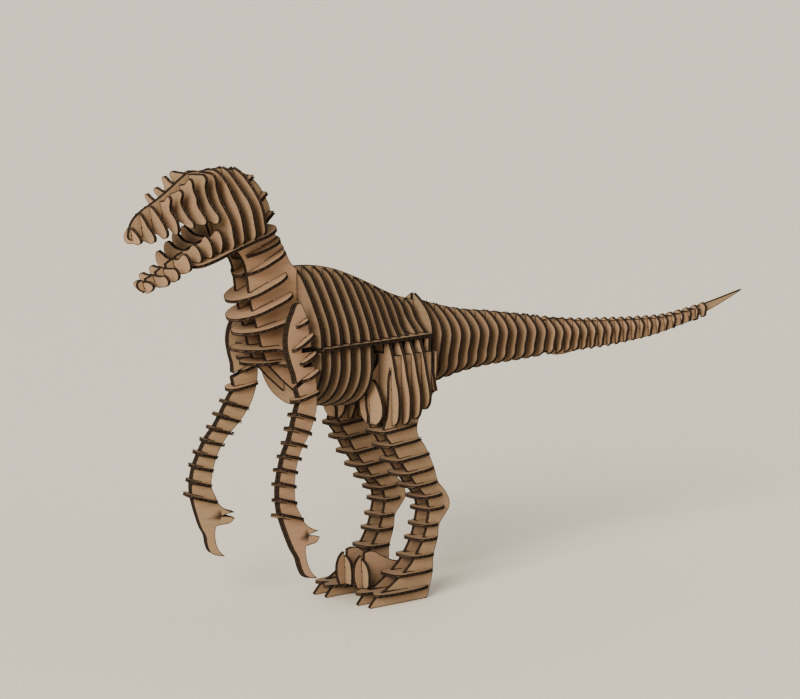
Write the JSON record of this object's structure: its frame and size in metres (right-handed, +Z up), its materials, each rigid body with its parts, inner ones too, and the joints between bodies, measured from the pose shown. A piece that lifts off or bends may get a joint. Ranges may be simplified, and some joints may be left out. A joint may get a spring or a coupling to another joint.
{
  "type": "slotted cardboard dinosaur puzzle",
  "caption": "Raptor dinosaur assembled from slotted sheets of corrugated cardboard, a press-out 3-D jigsaw whose head, arms, legs and tail end pull off",
  "frame": {"origin": "on the floor, at the centre of the model's footprint box", "axes": "+Z up; the snout points along -X and the tail along +X; the animal's left side is -Y"},
  "size_m": [0.8487, 0.1548, 0.444],
  "materials": {
    "rib_board": "uncoated kraft paper over a fluted middle, with laser-burnt edges",
    "ring_board": "uncoated kraft paper over a fluted middle, with laser-burnt edges",
    "belt_board": "uncoated kraft paper over a fluted middle, with laser-burnt edges",
    "neck_board": "uncoated kraft paper over a fluted middle, with laser-burnt edges",
    "spine_board": "uncoated kraft paper over a fluted middle, with laser-burnt edges",
    "tail_board": "uncoated kraft paper over a fluted middle, with laser-burnt edges",
    "skull_board": "uncoated kraft paper over a fluted middle, with laser-burnt edges",
    "arm_board": "uncoated kraft paper over a fluted middle, with laser-burnt edges",
    "leg_board": "uncoated kraft paper over a fluted middle, with laser-burnt edges"
  },
  "bodies": {
    "body": {"belt_left": "belt_board", "belt_right": "belt_board", "body_rib_01": "rib_board", "body_rib_02": "rib_board", "body_rib_03": "rib_board", "body_rib_04": "rib_board", "body_rib_05": "rib_board", "body_rib_06": "rib_board", "body_rib_07": "rib_board", "body_rib_08": "rib_board", "body_rib_09": "rib_board", "body_rib_10": "rib_board", "body_rib_11": "rib_board", "body_rib_12": "rib_board", "neck_disc_1": "neck_board", "neck_disc_2": "neck_board", "neck_disc_3": "neck_board", "neck_disc_4": "neck_board", "neck_disc_5": "neck_board", "neck_disc_6": "neck_board", "neck_disc_7": "neck_board", "neck_plate_left": "neck_board", "neck_plate_right": "neck_board", "spine_plate": "spine_board", "tail_ring_01": "ring_board", "tail_ring_02": "ring_board", "tail_ring_03": "ring_board", "tail_ring_04": "ring_board", "tail_ring_05": "ring_board", "tail_ring_06": "ring_board", "tail_ring_07": "ring_board", "tail_ring_08": "ring_board", "tail_ring_09": "ring_board", "tail_ring_10": "ring_board", "tail_ring_11": "ring_board", "tail_ring_12": "ring_board", "tail_ring_13": "ring_board"},
    "head": {"jaw_plate": "skull_board", "skull_base": "skull_board", "skull_plate": "skull_board", "skull_rib_01": "skull_board", "skull_rib_02": "skull_board", "skull_rib_03": "skull_board", "skull_rib_04": "skull_board", "skull_rib_05": "skull_board", "skull_rib_06": "skull_board", "skull_rib_07": "skull_board", "skull_rib_08": "skull_board"},
    "left_arm_body": {"left_arm": "arm_board"},
    "right_arm_body": {"right_arm": "arm_board"},
    "left_leg": {"left_claw": "leg_board", "left_leg_inner": "leg_board", "left_leg_outer": "leg_board", "left_sole": "leg_board"},
    "right_leg": {"right_claw": "leg_board", "right_leg_inner": "leg_board", "right_leg_outer": "leg_board", "right_sole": "leg_board"},
    "tail_end": {"tail_tip": "tail_board"}
  },
  "joints": [
    {"name": "head_lift", "type": "slide", "parent": "body", "child": "head", "axis": [-0.2723, 0, 0.9622], "range_m": [0, 0.025]},
    {"name": "left_arm_pull", "type": "slide", "parent": "body", "child": "left_arm_body", "axis": [-0.9903, -0.1392, 0], "range_m": [0, 0.03]},
    {"name": "right_arm_pull", "type": "slide", "parent": "body", "child": "right_arm_body", "axis": [-0.9903, 0.1392, 0], "range_m": [0, 0.03]},
    {"name": "left_leg_drop", "type": "slide", "parent": "body", "child": "left_leg", "axis": [0, 0, -1], "range_m": [0, 0.025]},
    {"name": "right_leg_drop", "type": "slide", "parent": "body", "child": "right_leg", "axis": [0, 0, -1], "range_m": [0, 0.025]},
    {"name": "tail_end_pull", "type": "slide", "parent": "body", "child": "tail_end", "axis": [1, 0, 0], "range_m": [0, 0.065]}
  ]
}
